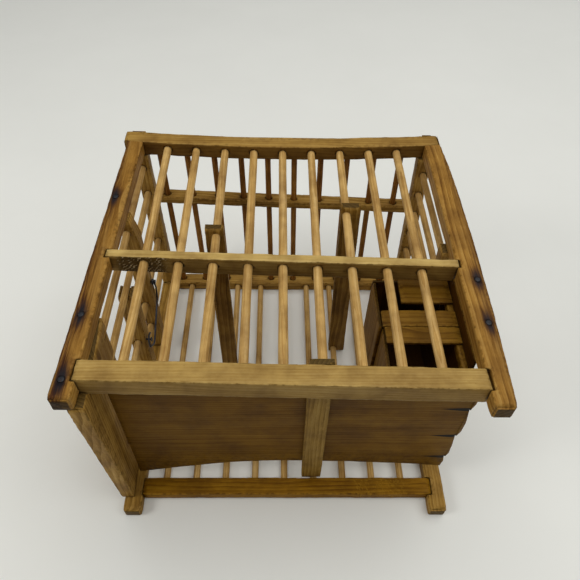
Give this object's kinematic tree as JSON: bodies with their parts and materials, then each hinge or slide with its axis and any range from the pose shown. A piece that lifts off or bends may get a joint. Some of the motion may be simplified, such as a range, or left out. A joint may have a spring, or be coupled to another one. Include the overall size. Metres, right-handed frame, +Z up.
{
  "type": "bird transport crate",
  "caption": "Small low bird crate: two square timber frames joined by posts, closed with round wooden bars, a thin front board and a wire hook.",
  "frame": {"origin": "on the ground, under the middle of the crate's outline", "axes": "+X to the right seen from the board side, +Y from the board side to the back, +Z up"},
  "size_m": [0.2642, 0.26, 0.1821],
  "materials": {
    "frame_wood": "worn raw timber",
    "bar_wood": "smooth worn dowel",
    "board_wood": "aged raw board",
    "iron": "dull, slightly rusted"
  },
  "bodies": {
    "crate": {"back_bar_1": "bar_wood", "back_bar_10": "bar_wood", "back_bar_2": "bar_wood", "back_bar_3": "bar_wood", "back_bar_4": "bar_wood", "back_bar_5": "bar_wood", "back_bar_6": "bar_wood", "back_bar_7": "bar_wood", "back_bar_8": "bar_wood", "back_bar_9": "bar_wood", "back_left_post": "frame_wood", "back_middle_rail": "frame_wood", "back_right_post": "frame_wood", "base_back_rail": "frame_wood", "base_front_rail": "frame_wood", "base_left_rail": "frame_wood", "base_right_rail": "frame_wood", "box_floor": "board_wood", "box_inner_board_front": "board_wood", "box_inner_board_rear": "board_wood", "box_ledger": "board_wood", "box_lid_front": "board_wood", "box_lid_middle": "board_wood", "box_lid_rear": "board_wood", "box_outer_board": "board_wood", "box_rear_board": "board_wood", "catch_pin": "iron", "floor_bars": "bar_wood", "front_batten": "board_wood", "front_left_board": "frame_wood", "hook_pin": "iron", "latch_post": "frame_wood", "left_batten": "board_wood", "left_wall_bars": "bar_wood", "mid_left_post": "frame_wood", "mid_right_post": "frame_wood", "rail_nails": "iron", "right_batten": "board_wood", "right_wall_bars": "bar_wood", "top_back_rail": "frame_wood", "top_bar_1": "bar_wood", "top_bar_2": "bar_wood", "top_bar_3": "bar_wood", "top_bar_4": "bar_wood", "top_bar_5": "bar_wood", "top_bar_6": "bar_wood", "top_bar_7": "bar_wood", "top_bar_8": "bar_wood", "top_bar_9": "bar_wood", "top_front_rail": "frame_wood", "top_left_rail": "frame_wood", "top_middle_rail": "frame_wood", "top_right_rail": "frame_wood"},
    "front_board": {"front_panel": "board_wood"},
    "hook": {"wire_hook": "iron"}
  },
  "joints": [
    {"name": "front_board_slide", "type": "slide", "parent": "crate", "child": "front_board", "axis": [1, 0, 0], "range_m": [0, 0.05]},
    {"name": "hook_swing", "type": "hinge", "parent": "crate", "child": "hook", "pos_m": [-0.1096, 0.0365, 0.096], "axis": [-1, 0, 0], "range_deg": [0, 60]}
  ]
}
